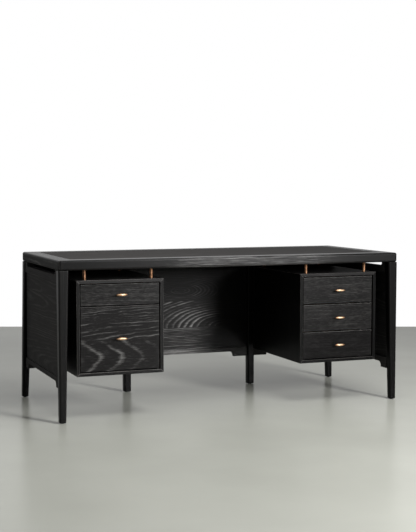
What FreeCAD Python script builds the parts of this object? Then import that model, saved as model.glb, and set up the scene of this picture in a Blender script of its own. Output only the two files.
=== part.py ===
import FreeCAD, Part
import os
import re
import Sketcher

# Executive desk: a framed top on six tapered legs, panelled sides and back, and two drawer cases
# hung on pegs. The origin is on the floor under the middle of the top. +X is to the right as seen
# from the front, the drawers open towards -Y, and +Z is up. Millimetres throughout.

os.makedirs("parts", exist_ok=True)
doc = FreeCAD.newDocument("executive_desk")

# Driving dimensions

driving_dimensions = [
    ("desk_width", 1800, "top, end to end"),
    ("desk_depth", 785, "top, front to back"),
    ("desk_height", 768, "floor to the border of the top"),
    ("top_thickness", 48, "border rails of the top"),
    ("border_width", 74, "border rail seen from above"),
    ("top_edge_round", 10, "rounding of the top's outer edges"),
    ("top_corner_round", 13, "corner of the top seen from above"),
    ("field_drop", 0.8, "top panel below the border"),
    ("field_edge_round", 1.2, "eased edge of the top panel"),
    ("leg_top_size", 50, "leg under the top, square"),
    ("leg_foot_size", 33, "leg at the foot, square"),
    ("leg_outer_taper", 1, "outer faces of a corner leg lean in by this"),
    ("rear_leg_splay", 14, "rear feet stand out to the sides by this"),
    ("leg_round", 8, "long edges of a leg"),
    ("leg_end_round", 4, "edges of a leg's two ends"),
    ("glide_height", 3, "glide under a foot"),
    ("glide_radius", 8, "glide under a foot"),
    ("mid_leg_offset", 362, "half the distance between the inner legs"),
    ("mid_leg_shift", 13, "inner legs to the right of the middle"),
    ("mid_leg_back_gap", 46, "inner leg in from the back of the top"),
    ("mid_leg_top_size", 43, "inner leg under the top, square"),
    ("mid_leg_foot_size", 39, "inner leg at the foot, square"),
    ("dowel_radius", 5, "dowel between leg and top"),
    ("dowel_depth", 28, "dowel's depth in each piece"),
    ("dowel_shift", 9, "corner dowel away from the mitre"),
    ("hole_clearance", 0.1, "radial room round a dowel, spigot or bolt"),
    ("top_rail_height", 56, "rails under the top"),
    ("slot_depth", 24, "scoop in the side's top rail"),
    ("slot_end_gap", 40, "end of the scoop to the leg"),
    ("slot_end_round", 18, "rounded end of the scoop"),
    ("rail_floor_gap", 189, "floor to the bottom rails"),
    ("bottom_rail_height", 24, "bottom rails"),
    ("bracket_cove", 24, "cove between bracket and rail"),
    ("bracket_step", 4, "upright step of a bracket below its cove"),
    ("side_bracket_reach", 52, "bracket out from a leg, on the sides"),
    ("back_bracket_reach", 80, "bracket out from a leg, on the back"),
    ("rail_edge_round", 2, "eased edges of the rails"),
    ("side_rail_thickness", 36, "rails of the sides"),
    ("side_rail_inset", 6, "side rails in from the end of the top"),
    ("back_rail_thickness", 24, "rails of the back"),
    ("back_rail_clearance", 0.5, "rails of the back in front of the corner legs"),
    ("panel_thickness", 12, "panels of the sides and the back"),
    ("panel_recess", 6, "panels in from the face of their rails"),
    ("case_width", 435, "drawer case"),
    ("case_height", 459, "drawer case"),
    ("case_board", 16, "boards of the drawer case"),
    ("case_back_thickness", 9, "back of the drawer case"),
    ("case_corner_round", 3, "corner of the case seen from the front"),
    ("case_edge_round", 1.5, "eased front edges of the case"),
    ("case_end_gap", 98, "case in from the end of the top"),
    ("case_setback", 50, "case behind the front of the top"),
    ("case_back_inset", 135, "case in from the back of the top"),
    ("case_gap", 52, "air between the case and the top"),
    ("peg_radius", 8, "brass peg"),
    ("peg_side_inset", 50, "peg in from the side of the case"),
    ("peg_border_gap", 16, "front peg behind the border of the top"),
    ("peg_back_inset", 40, "rear peg in from the back of the case"),
    ("bolt_radius", 3, "bolt through a peg"),
    ("bolt_grip", 26, "bolt's depth in the top panel"),
    ("bolt_head_radius", 6, "bolt head inside the case"),
    ("bolt_head_height", 4, "bolt head inside the case"),
    ("drawer_reveal", 5, "gap round a drawer front"),
    ("drawer_recess", 5, "drawer front behind the case's edge"),
    ("front_thickness", 20, "drawer front"),
    ("front_edge_round", 1.5, "eased edges of a drawer front"),
    ("shallow_front_height", 102, "upper front on the left"),
    ("box_back_gap", 66, "air behind a closed drawer box"),
    ("box_wall", 12, "walls of the drawer box"),
    ("box_bottom", 6, "bottom of the drawer box"),
    ("box_lift", 12, "drawer box above the lower edge of its front"),
    ("box_headroom", 16, "drawer box below the upper edge of its front"),
    ("deep_box_headroom", 60, "deep drawer box below the upper edge of its front"),
    ("slide_gap", 12.7, "case side to drawer box"),
    ("runner_web", 1.5, "metal of the runner channel"),
    ("runner_flange", 9.5, "depth of the runner channel"),
    ("runner_clearance", 0.4, "running gap in the channel"),
    ("slide_height", 32, "moving bar of the runner"),
    ("pull_length", 58, "brass pull"),
    ("pull_thickness", 12.5, "brass pull"),
    ("pull_stand", 26, "middle of the pull off the drawer front"),
    ("pull_stem_radius", 4.5, "stem of the pull"),
    ("pull_spigot_radius", 3, "spigot of the pull in the drawer front"),
    ("pull_spigot_depth", 13, "spigot of the pull in the drawer front"),
]

sheet = doc.addObject("Spreadsheet::Sheet", "Size")
for row, (alias, value, meaning) in enumerate(driving_dimensions, start=1):
    sheet.set("A%d" % row, str(value))
    sheet.setAlias("A%d" % row, alias)
    sheet.set("B%d" % row, meaning)
doc.recompute()
aliases = {alias for alias, value, meaning in driving_dimensions}


def formula(text):
    """Spells a formula in bare dimension names as one that reads the sheet."""
    def spell(word):
        return "Size." + word[0] if word[0] in aliases else word[0]

    return re.sub(r"[a-z][a-z_]*", spell, text)


def value_of(text):
    """The number that a formula gives now."""
    return float(sheet.evalExpression(formula(text)))


# Places that several pieces share, as formulas

half_width = "(desk_width / 2)"
half_depth = "(desk_depth / 2)"
top_underside = "(desk_height - top_thickness)"
top_rail_bottom = f"({top_underside} - top_rail_height)"
bottom_rail_top = "(rail_floor_gap + bottom_rail_height)"
bracket_bottom = "(rail_floor_gap - bracket_cove - bracket_step)"
mid_leg_y = f"({half_depth} - mid_leg_back_gap - mid_leg_top_size / 2)"
mid_dowel_y = f"(({half_depth} - border_width + {mid_leg_y} + mid_leg_top_size / 2) / 2)"
back_rail_y = f"({half_depth} - leg_top_size - back_rail_clearance - back_rail_thickness)"
back_panel_y = f"({back_rail_y} + panel_recess)"
case_top_z = f"({top_underside} - case_gap)"
case_bottom_z = f"({case_top_z} - case_height)"
case_front_y = f"(-{half_depth} + case_setback)"
case_back_y = f"({half_depth} - case_back_inset)"
case_depth = f"({case_back_y} - {case_front_y})"
drawer_front_y = f"({case_front_y} + drawer_recess)"
box_front_y = f"({drawer_front_y} + front_thickness)"
box_length = f"({case_back_y} - case_back_thickness - box_back_gap - {box_front_y})"
opening_bottom_z = f"({case_bottom_z} + case_board)"
opening_top_z = f"({case_top_z} - case_board)"

nodes = []


def keep(thing, label):
    """Names a finished piece, which names its file too."""
    thing.Label = label
    nodes.append(thing)
    return thing


def put(thing, x="0", y="0", z="0"):
    """Ties the place of a piece to formulas."""
    for axis, text in zip("xyz", (x, y, z)):
        thing.setExpression("Placement.Base." + axis, formula(text))


def plane_of(body, role):
    """One of the body's own origin planes."""
    return next(item for item in body.Origin.OriginFeatures if item.Role == role)


# Sketch outlines. A corner is (u, v), and (u, v, centre u, centre v, radius) where an arc starts.

def draw(body, plane, corners, offset="0"):
    """A closed outline in one of the body's own planes, every corner tied to formulas."""
    sketch = body.newObject("Sketcher::SketchObject", body.Name + "_outline")
    sketch.AttachmentSupport = [(plane_of(body, plane), "")]
    sketch.MapMode = "FlatFace"
    sketch.setExpression("AttachmentOffset.Base.z", formula(offset))
    spots = [FreeCAD.Vector(value_of(corner[0]), value_of(corner[1]), 0) for corner in corners]
    ends = []
    for index, corner in enumerate(corners):
        start, stop = spots[index], spots[(index + 1) % len(spots)]
        if len(corner) == 2:
            sketch.addGeometry(Part.LineSegment(start, stop))
            ends.append((1, 2))
            continue
        centre = FreeCAD.Vector(value_of(corner[2]), value_of(corner[3]), 0)
        turns_left = (start - centre).cross(stop - centre).z > 0
        first, last = (start, stop) if turns_left else (stop, start)
        axis_x = FreeCAD.Vector(1, 0, 0)
        arms = (first - centre, last - centre)
        angles = [axis_x.getAngle(arm) * (1 if arm.y >= 0 else -1) for arm in arms]
        circle = Part.Circle(centre, FreeCAD.Vector(0, 0, 1), arms[0].Length)
        sketch.addGeometry(Part.ArcOfCircle(circle, *angles))
        ends.append((1, 2) if turns_left else (2, 1))
    for index, corner in enumerate(corners):
        before = index - 1 if index else len(corners) - 1
        here, there = ends[index][0], ends[before][1]
        sketch.addConstraint(Sketcher.Constraint("Coincident", before, there, index, here))
        for kind, text, number in zip(("DistanceX", "DistanceY"), corner, spots[index]):
            tie = sketch.addConstraint(Sketcher.Constraint(kind, -1, 1, index, here, number))
            sketch.setExpression("Constraints[%d]" % tie, formula(text))
        if len(corner) > 2:
            tie = sketch.addConstraint(Sketcher.Constraint("Radius", index, value_of(corner[4])))
            sketch.setExpression("Constraints[%d]" % tie, formula(corner[4]))
    doc.recompute()
    return sketch


def draw_circles(body, plane, centres, radius, offset="0"):
    """Round holes to cut, their centres and radius tied to formulas."""
    sketch = body.newObject("Sketcher::SketchObject", body.Name + "_holes")
    sketch.AttachmentSupport = [(plane_of(body, plane), "")]
    sketch.MapMode = "FlatFace"
    sketch.setExpression("AttachmentOffset.Base.z", formula(offset))
    for index, (u, v) in enumerate(centres):
        middle = FreeCAD.Vector(value_of(u), value_of(v), 0)
        sketch.addGeometry(Part.Circle(middle, FreeCAD.Vector(0, 0, 1), value_of(radius)))
        for kind, text, number in zip(("DistanceX", "DistanceY"), (u, v), middle):
            tie = sketch.addConstraint(Sketcher.Constraint(kind, -1, 1, index, 3, number))
            sketch.setExpression("Constraints[%d]" % tie, formula(text))
        tie = sketch.addConstraint(Sketcher.Constraint("Radius", index, value_of(radius)))
        sketch.setExpression("Constraints[%d]" % tie, formula(radius))
    doc.recompute()
    return sketch


def pad(name, plane, corners, length, reverse=False):
    """A board: an outline given a thickness."""
    body = doc.addObject("PartDesign::Body", name)
    sketch = draw(body, plane, corners)
    feature = body.newObject("PartDesign::Pad", name + "_pad")
    feature.Profile = sketch
    feature.setExpression("Length", formula(length))
    feature.Reversed = reverse
    sketch.Visibility = False
    doc.recompute()
    return body


def round_edges(body, radius, choose=None):
    """Rounds the edges of the body that the test picks, or all of them."""
    before = body.Tip
    edges = enumerate(before.Shape.Edges, start=1)
    picked = ["Edge%d" % number for number, edge in edges if choose is None or choose(edge)]
    feature = body.newObject("PartDesign::Fillet", body.Name + "_round")
    feature.Base = (before, picked)
    feature.setExpression("Radius", formula(radius))
    body.Tip = feature
    doc.recompute()


def drill(body, plane, centres, radius, depth, offset="0", reverse=False):
    """Blind or through holes, square to a plane of the body."""
    before = body.Tip.Shape.Volume
    sketch = draw_circles(body, plane, centres, radius, offset)
    feature = body.newObject("PartDesign::Pocket", body.Name + "_drill")
    feature.Profile = sketch
    feature.setExpression("Length", formula(depth))
    feature.Reversed = reverse
    sketch.Visibility = False
    doc.recompute()
    if feature.Shape.Volume > before - 1:
        raise ValueError(body.Name + ": a hole cuts nothing")


def block(name, x, y, z, length, width, height):
    """A plain board from its low corner and its three sizes."""
    piece = doc.addObject("Part::Box", name)
    for side, text in (("Length", length), ("Width", width), ("Height", height)):
        piece.setExpression(side, formula(text))
    put(piece, x, y, z)
    return piece


def rod(name, x, y, z, radius, length):
    """An upright round bar from the middle of its lower end."""
    piece = doc.addObject("Part::Cylinder", name)
    piece.setExpression("Radius", formula(radius))
    piece.setExpression("Height", formula(length))
    put(piece, x, y, z)
    return piece


def group(name, pieces):
    """Separate solids that share one node."""
    bundle = doc.addObject("Part::Compound", name)
    bundle.Links = pieces
    doc.recompute()
    return keep(bundle, name)


def rectangle(u_low, u_high, v_low, v_high):
    return [(u_low, v_low), (u_high, v_low), (u_high, v_high), (u_low, v_high)]


def mitred(u_low, u_high, width, corner_round, place):
    """A board with mitred ends; place turns a distance along it and one in from its edge into (u, v)."""
    tip = f"({corner_round} * (1 - sqrt(0.5)))"
    low_arc, high_arc = f"({u_low} + {corner_round})", f"({u_high} - {corner_round})"
    return [
        place(low_arc, "0"),
        place(high_arc, "0") + place(high_arc, corner_round) + (corner_round,),
        place(f"({u_high} - {tip})", tip),
        place(f"({u_high} - {width})", width),
        place(f"({u_low} + {width})", width),
        place(f"({u_low} + {tip})", tip) + place(low_arc, corner_round) + (corner_round,),
    ]


def is_at(number, *places):
    return any(abs(number - place) < 1e-4 for place in places)


# Top: four mitred border rails round a panel

def outer_edge(edge):
    """Level edges along the outside of a border rail."""
    spots = [vertex.Point for vertex in edge.Vertexes]
    level = is_at(spots[0].z, spots[1].z)
    middle = edge.valueAt((edge.FirstParameter + edge.LastParameter) / 2)
    beyond_x = abs(middle.x) > value_of(f"{half_width} - top_corner_round")
    beyond_y = abs(middle.y) > value_of(f"{half_depth} - top_corner_round")
    on_side = is_at(abs(middle.x), value_of(half_width)) or is_at(abs(middle.y), value_of(half_depth))
    return level and (on_side or (beyond_x and beyond_y and edge.Curve.TypeId == "Part::GeomCircle"))


def mid_leg_x(side):
    """Middle of the left (-1) or right (1) inner leg."""
    return f"({side} * mid_leg_offset + mid_leg_shift)"


corner_dowel_x = f"({half_width} - leg_top_size / 2)"
corner_dowel_y = f"({half_depth} - leg_top_size / 2 - dowel_shift)"
border_rails = [
    ("top_front_rail", half_width, lambda u, v: (u, f"(-{half_depth} + {v})"), []),
    ("top_rear_rail", half_width, lambda u, v: (u, f"({half_depth} - {v})"),
     [(mid_leg_x(-1), mid_dowel_y), (mid_leg_x(1), mid_dowel_y)]),
    ("top_left_rail", half_depth, lambda u, v: (f"(-{half_width} + {v})", u),
     [(f"-{corner_dowel_x}", f"-{corner_dowel_y}"), (f"-{corner_dowel_x}", corner_dowel_y)]),
    ("top_right_rail", half_depth, lambda u, v: (f"({half_width} - {v})", u),
     [(corner_dowel_x, f"-{corner_dowel_y}"), (corner_dowel_x, corner_dowel_y)]),
]
for name, reach, place, dowel_places in border_rails:
    outline = mitred(f"-{reach}", reach, "border_width", "top_corner_round", place)
    rail = pad(name, "XY_Plane", outline, "top_thickness")
    put(rail, z=top_underside)
    round_edges(rail, "top_edge_round", outer_edge)
    if dowel_places:
        drill(rail, "XY_Plane", dowel_places, "dowel_radius + hole_clearance", "dowel_depth", reverse=True)
    keep(rail, name)

field_x = f"({half_width} - border_width)"
field_y = f"({half_depth} - border_width)"
field_thickness = "(top_thickness - field_drop)"
field_outline = rectangle(f"-{field_x}", field_x, f"-{field_y}", field_y)
top_panel = pad("top_panel", "XY_Plane", field_outline, field_thickness)
put(top_panel, z=top_underside)
round_edges(top_panel, "field_edge_round",
            lambda edge: all(is_at(vertex.Z, value_of(field_thickness)) for vertex in edge.Vertexes))
case_inner_x = f"({half_width} - case_end_gap - case_width)"
case_outer_x = f"({half_width} - case_end_gap)"
peg_places = [(f"{side} * {x}", y)
              for side in ("-1", "1")
              for x in (f"({case_inner_x} + peg_side_inset)", f"({case_outer_x} - peg_side_inset)")
              for y in (f"(peg_border_gap - {field_y})", f"({case_back_y} - peg_back_inset)")]
drill(top_panel, "XY_Plane", peg_places, "bolt_radius + hole_clearance", "bolt_grip", reverse=True)
keep(top_panel, "top_panel")

# Legs: square, tapered, with rounded edges and a dowel in the upper end


def corner_span(sign, reach, splay="0"):
    """A corner leg across one axis: low and high at the head, then low and high at the foot."""
    head = (reach, f"({reach} - leg_top_size)")
    foot_reach = f"({reach} - leg_outer_taper + {splay})"
    foot = (foot_reach, f"({foot_reach} - leg_foot_size)")
    if sign > 0:
        return head[::-1] + foot[::-1]
    return tuple(f"(-{place})" for place in head + foot)


def middle_span(middle):
    """An inner leg across one axis, in the same order."""
    sizes = ("mid_leg_top_size", "mid_leg_foot_size")
    return tuple(f"({middle} {turn} {size} / 2)" for size in sizes for turn in "-+")


legs = {}
for name, side_x, side_y in (("leg_front_left", -1, -1), ("leg_front_right", 1, -1),
                             ("leg_rear_left", -1, 1), ("leg_rear_right", 1, 1),
                             ("leg_mid_left", -1, 0), ("leg_mid_right", 1, 0)):
    if side_y:
        dowel = (f"({side_x} * {corner_dowel_x})", f"({side_y} * {corner_dowel_y})")
        splay = "rear_leg_splay" if side_y > 0 else "0"
        span_x, span_y = corner_span(side_x, half_width, splay), corner_span(side_y, half_depth)
    else:
        dowel = (mid_leg_x(side_x), mid_dowel_y)
        span_x, span_y = middle_span(dowel[0]), middle_span(mid_leg_y)
    body = doc.addObject("PartDesign::Body", name)
    taper = body.newObject("PartDesign::AdditiveWedge", name + "_taper")
    taper.AttachmentSupport = [(plane_of(body, "XZ_Plane"), "")]
    taper.MapMode = "FlatFace"
    # The wedge stands on the XZ plane, so its own Y is up and its own Z points to the front.
    wedge = {"Ymin": "glide_height", "Ymax": top_underside,
             "Xmin": span_x[2], "Xmax": span_x[3], "X2min": span_x[0], "X2max": span_x[1],
             "Zmin": f"-{span_y[3]}", "Zmax": f"-{span_y[2]}",
             "Z2min": f"-{span_y[1]}", "Z2max": f"-{span_y[0]}"}
    for side, text in wedge.items():
        setattr(taper, side, value_of(text))
        taper.setExpression(side, formula(text))
    doc.recompute()
    round_edges(body, "leg_round", lambda edge: edge.BoundBox.ZLength > 1)
    round_edges(body, "leg_end_round", lambda edge: edge.BoundBox.ZLength < 1e-4)
    drill(body, "XY_Plane", [dowel], "dowel_radius + hole_clearance", "dowel_depth", offset=top_underside)
    keep(body, name)
    legs[name] = (dowel, tuple(f"({span[2]} + {span[3]}) / 2" for span in (span_x, span_y)))

dowel_low = f"({top_underside} - dowel_depth)"
group("leg_dowels", [rod(name + "_dowel", *dowel, dowel_low, "dowel_radius", "dowel_depth * 2")
                     for name, (dowel, foot) in legs.items()])
group("leg_glides", [rod(name + "_glide", *foot, "0", "glide_radius", "glide_height")
                     for name, (dowel, foot) in legs.items()])

# Rails and panels between the legs. Their ends follow the lean of the legs' faces.


def leaning(at_top, at_foot, z):
    """Where a leg's face is at height z, from where it is at the leg's two ends."""
    drop = f"({top_underside} - {z}) / ({top_underside} - glide_height)"
    return f"({at_top} + ({at_foot} - {at_top}) * {drop})"


def between(low, high, bottom, top):
    """A board between two leaning faces and two levels, from its lower left corner round."""
    return [(leaning(*low, bottom), bottom), (leaning(*high, bottom), bottom),
            (leaning(*high, top), top), (leaning(*low, top), top)]


def panel_outline(low, high):
    """A panel between two leaning faces and between the top and bottom rails."""
    return between(low, high, bottom_rail_top, top_rail_bottom)


def top_rail_outline(low, high):
    """A plain rail under the top."""
    return between(low, high, top_rail_bottom, top_underside)


def scooped_rail_outline(low, high):
    """A rail under the top with a long slot in its upper edge, quarter round at both ends."""
    slot_z = f"({top_underside} - slot_depth)"
    arc_z = f"({slot_z} + slot_end_round)"
    slot_low, slot_high = f"({low[0]} + slot_end_gap)", f"({high[0]} - slot_end_gap)"
    low_arc, high_arc = f"({slot_low} + slot_end_round)", f"({slot_high} - slot_end_round)"
    slot = [(slot_high, top_underside),
            (slot_high, arc_z, high_arc, arc_z, "slot_end_round"), (high_arc, slot_z),
            (low_arc, slot_z, low_arc, arc_z, "slot_end_round"), (slot_low, arc_z),
            (slot_low, top_underside)]
    outside = top_rail_outline(low, high)
    return outside[:3] + slot + outside[3:]


def bracket_rail_outline(low, high, reach, ends="both"):
    """A bottom rail that drops into a bracket, with a cove beside it, at one end or both."""
    cove_z = "(rail_floor_gap - bracket_cove)"
    outline = []
    if ends in ("low", "both"):
        step = f"({leaning(*low, bracket_bottom)} + {reach})"
        cove = f"({step} + bracket_cove)"
        outline += [(leaning(*low, bracket_bottom), bracket_bottom), (step, bracket_bottom),
                    (step, cove_z, cove, cove_z, "bracket_cove"), (cove, "rail_floor_gap")]
    else:
        outline.append((leaning(*low, "rail_floor_gap"), "rail_floor_gap"))
    if ends in ("high", "both"):
        step = f"({leaning(*high, bracket_bottom)} - {reach})"
        cove = f"({step} - bracket_cove)"
        outline += [(cove, "rail_floor_gap", cove, cove_z, "bracket_cove"), (step, cove_z),
                    (step, bracket_bottom), (leaning(*high, bracket_bottom), bracket_bottom)]
    else:
        outline.append((leaning(*high, "rail_floor_gap"), "rail_floor_gap"))
    return outline + [(leaning(*high, bottom_rail_top), bottom_rail_top),
                      (leaning(*low, bottom_rail_top), bottom_rail_top)]


def ease_rail(rail, along):
    """Rounds the long edges of a rail; the edges where it meets its neighbours stay sharp."""
    box = rail.Tip.Shape.BoundBox
    low, high = getattr(box, along.upper() + "Min"), getattr(box, along.upper() + "Max")
    across = "y" if along == "x" else "x"
    near_end = (high - low) / 100

    def on_broad_face(edge):
        middle = edge.valueAt((edge.FirstParameter + edge.LastParameter) / 2)
        spots = [getattr(vertex.Point, across) for vertex in edge.Vertexes]
        place = getattr(middle, along)
        return is_at(spots[0], spots[1]) and low + near_end < place < high - near_end

    round_edges(rail, "rail_edge_round", on_broad_face)


leg_inner_y = (f"({half_depth} - leg_top_size)", f"({half_depth} - leg_outer_taper - leg_foot_size)")
side_span = ((f"-{leg_inner_y[0]}", f"-{leg_inner_y[1]}"), leg_inner_y)
for side, sign in (("left", -1), ("right", 1)):
    rail_x = f"{sign} * ({half_width} - side_rail_inset - side_rail_thickness / 2) - side_rail_thickness / 2"
    panel_x = (f"{sign} * ({half_width} - side_rail_inset - panel_recess - panel_thickness / 2)"
               " - panel_thickness / 2")
    top_rail = pad(f"side_{side}_top_rail", "YZ_Plane",
                   scooped_rail_outline(*side_span), "side_rail_thickness")
    bottom_rail = pad(f"side_{side}_bottom_rail", "YZ_Plane",
                      bracket_rail_outline(*side_span, "side_bracket_reach"), "side_rail_thickness")
    for rail in (top_rail, bottom_rail):
        put(rail, x=rail_x)
        ease_rail(rail, "y")
        keep(rail, rail.Name)
    panel = pad(f"side_{side}_panel", "YZ_Plane", panel_outline(*side_span), "panel_thickness")
    put(panel, x=panel_x)
    keep(panel, panel.Name)

# The back's outer bays end at the inside of the side frames, its middle bay at the inner legs.

side_rail_inside = f"({half_width} - side_rail_inset - side_rail_thickness)"
side_panel_inside = f"({half_width} - side_rail_inset - panel_recess - panel_thickness)"


def bay(side, outside):
    """The two faces that bound a bay, as places at the head and the foot of the legs."""
    left_leg, right_leg = middle_span(mid_leg_x(-1)), middle_span(mid_leg_x(1))
    return {"left": ((f"-{outside}", f"-{outside}"), left_leg[0::2]),
            "center": (left_leg[1::2], right_leg[0::2]),
            "right": (right_leg[1::2], (outside, outside))}[side]


back_top_rails = []
for side, ends in (("left", "high"), ("center", "both"), ("right", "low")):
    rail_span, panel_span = bay(side, side_rail_inside), bay(side, side_panel_inside)
    bottom_rail = pad(f"back_{side}_bottom_rail", "XZ_Plane",
                      bracket_rail_outline(*rail_span, "back_bracket_reach", ends),
                      "back_rail_thickness", reverse=True)
    put(bottom_rail, y=back_rail_y)
    ease_rail(bottom_rail, "x")
    keep(bottom_rail, bottom_rail.Name)
    panel = pad(f"back_{side}_panel", "XZ_Plane", panel_outline(*panel_span),
                "panel_thickness", reverse=True)
    put(panel, y=back_panel_y)
    keep(panel, panel.Name)
    top_rail = pad(f"back_{side}_top_rail", "XZ_Plane", top_rail_outline(*rail_span),
                   "back_rail_thickness", reverse=True)
    put(top_rail, y=back_rail_y)
    back_top_rails.append(top_rail)
group("back_top_rails", back_top_rails)

# Drawer cases: mitred boards round a back, hung from the top on pegs


def front_edge(edge):
    """Long edges of a case board's front."""
    at_front = all(is_at(vertex.Y, 0) for vertex in edge.Vertexes)
    return at_front and edge.Length > value_of("case_width / 2")


for side, sign in (("left", -1), ("right", 1)):
    low_x, high_x = (case_inner_x, case_outer_x)
    low_name, high_name = ("inner_side", "outer_side")
    if sign < 0:
        low_x, high_x = (f"-{case_outer_x}", f"-{case_inner_x}")
        low_name, high_name = high_name, low_name
    case_boards = {
        "top": (low_x, high_x, lambda u, v: (u, f"({case_top_z} - {v})")),
        "bottom": (low_x, high_x, lambda u, v: (u, f"({case_bottom_z} + {v})")),
        low_name: (case_bottom_z, case_top_z, lambda u, v, edge=low_x: (f"({edge} + {v})", u)),
        high_name: (case_bottom_z, case_top_z, lambda u, v, edge=high_x: (f"({edge} - {v})", u)),
    }
    for board_name, (low, high, place) in case_boards.items():
        outline = mitred(low, high, "case_board", "case_corner_round", place)
        board = pad(f"{side}_case_{board_name}", "XZ_Plane", outline, case_depth, reverse=True)
        put(board, y=case_front_y)
        round_edges(board, "case_edge_round", front_edge)
        if board_name == "top":
            places = [(x, f"({y} - {case_front_y})") for x, y in peg_places if value_of(x) * sign > 0]
            drill(board, "XY_Plane", places, "bolt_radius + hole_clearance", "case_board", offset=case_top_z)
        keep(board, board.Name)
    back = block(f"{side}_case_back",
                 f"{low_x} + case_board", f"{case_back_y} - case_back_thickness", opening_bottom_z,
                 "case_width - case_board * 2", "case_back_thickness", "case_height - case_board * 2")
    keep(back, back.Name)

pegs, bolts = [], []
for number, (x, y) in enumerate(peg_places, start=1):
    peg = doc.addObject("Part::Cut", f"peg_{number}")
    peg.Base = rod(f"peg_{number}_bar", x, y, case_top_z, "peg_radius", "case_gap")
    peg.Tool = rod(f"peg_{number}_bore", x, y, case_top_z, "bolt_radius + hole_clearance", "case_gap")
    pegs.append(peg)
    bolt = doc.addObject("Part::Fuse", f"bolt_{number}")
    bolt.Base = rod(f"bolt_{number}_shank", x, y, opening_top_z,
                    "bolt_radius", "case_board + case_gap + bolt_grip")
    bolt.Tool = rod(f"bolt_{number}_head", x, y, f"{opening_top_z} - bolt_head_height",
                    "bolt_head_radius", "bolt_head_height")
    bolts.append(bolt)
group("case_pegs", pegs)
group("peg_bolts", bolts)

# Drawers: a front, a box, a pull and two runners each

shallow_low = f"({opening_top_z} - drawer_reveal - shallow_front_height)"
third_height = "((case_height - case_board * 2 - drawer_reveal * 4) / 3)"
drawers = [
    ("left_upper", -1, shallow_low, "shallow_front_height", "box_headroom"),
    ("left_lower", -1, f"({opening_bottom_z} + drawer_reveal)",
     "(case_height - case_board * 2 - drawer_reveal * 3 - shallow_front_height)", "deep_box_headroom"),
]
for place_up, level in enumerate(("lower", "middle", "upper")):
    low = f"({opening_bottom_z} + drawer_reveal + {place_up} * ({third_height} + drawer_reveal))"
    drawers.append((f"right_{level}", 1, low, third_height, "box_headroom"))

case_runners = []
for name, sign, front_low, front_height, headroom in drawers:
    open_low = f"(-{case_outer_x} + case_board)" if sign < 0 else f"({case_inner_x} + case_board)"
    open_high = f"(-{case_inner_x} - case_board)" if sign < 0 else f"({case_outer_x} - case_board)"
    middle_x = f"(({open_low} + {open_high}) / 2)"
    middle_z = f"({front_low} + {front_height} / 2)"

    front = pad(f"drawer_{name}_front", "XZ_Plane",
                rectangle(f"{open_low} + drawer_reveal", f"{open_high} - drawer_reveal",
                          front_low, f"{front_low} + {front_height}"), "front_thickness", reverse=True)
    put(front, y=drawer_front_y)
    round_edges(front, "front_edge_round")
    drill(front, "XZ_Plane", [(middle_x, middle_z)],
          "pull_spigot_radius + hole_clearance", "pull_spigot_depth")
    keep(front, front.Name)

    box_low, box_high = f"({open_low} + slide_gap)", f"({open_high} - slide_gap)"
    box_z = f"({front_low} + box_lift)"
    wall_z = f"({box_z} + box_bottom)"
    wall_height = f"({front_height} - box_lift - {headroom} - box_bottom)"
    inside_width = f"({box_high} - {box_low} - box_wall * 2)"
    inside_low, right_wall = f"({box_low} + box_wall)", f"({box_high} - box_wall)"
    back_wall = f"({box_front_y} + {box_length} - box_wall)"
    group(f"drawer_{name}_box", [
        block(f"{name}_box_bottom", box_low, box_front_y, box_z,
              f"{box_high} - {box_low}", box_length, "box_bottom"),
        block(f"{name}_box_left", box_low, box_front_y, wall_z, "box_wall", box_length, wall_height),
        block(f"{name}_box_right", right_wall, box_front_y, wall_z, "box_wall", box_length, wall_height),
        block(f"{name}_box_front", inside_low, box_front_y, wall_z, inside_width, "box_wall", wall_height),
        block(f"{name}_box_back", inside_low, back_wall, wall_z, inside_width, "box_wall", wall_height),
    ])

    slide_width = "(slide_gap - runner_web - runner_clearance)"
    slide_z = f"({wall_z} + ({wall_height} - slide_height) / 2)"
    group(f"drawer_{name}_slides", [
        block(f"{name}_slide_left", f"{box_low} - {slide_width}", box_front_y, slide_z,
              slide_width, box_length, "slide_height"),
        block(f"{name}_slide_right", box_high, box_front_y, slide_z,
              slide_width, box_length, "slide_height"),
    ])
    channel_low = f"({slide_z} - runner_clearance - runner_web)"
    channel_high = f"({slide_z} + slide_height + runner_clearance + runner_web)"
    for hand, wall, turn in (("left", open_low, "+"), ("right", open_high, "-")):
        lip, web = f"({wall} {turn} runner_flange)", f"({wall} {turn} runner_web)"
        low_web, high_web = f"({channel_low} + runner_web)", f"({channel_high} - runner_web)"
        channel = pad(f"{name}_runner_{hand}", "XZ_Plane",
                      [(wall, channel_low), (lip, channel_low), (lip, low_web), (web, low_web),
                       (web, high_web), (lip, high_web), (lip, channel_high), (wall, channel_high)],
                      box_length, reverse=True)
        put(channel, y=box_front_y)
        case_runners.append(channel)

    grip = doc.addObject("Part::Ellipsoid", f"{name}_pull_grip")
    grip.setExpression("Radius1", formula("pull_thickness / 2"))
    grip.setExpression("Radius2", formula("pull_length / 2"))
    grip.setExpression("Radius3", formula("pull_thickness / 2"))
    put(grip, middle_x, f"{drawer_front_y} - pull_stand", middle_z)
    stem = rod(f"{name}_pull_stem", middle_x, drawer_front_y, middle_z, "pull_stem_radius", "pull_stand")
    spigot = rod(f"{name}_pull_spigot", middle_x, f"{drawer_front_y} + pull_spigot_depth", middle_z,
                 "pull_spigot_radius", "pull_spigot_depth + pull_stand")
    for bar in (stem, spigot):
        bar.Placement.Rotation = FreeCAD.Rotation(FreeCAD.Vector(1, 0, 0), 90)
    pull = doc.addObject("Part::MultiFuse", f"drawer_{name}_pull")
    pull.Shapes = [grip, stem, spigot]
    keep(pull, pull.Name)
group("case_runners", case_runners)

# Check every object, then write one file per node

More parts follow.
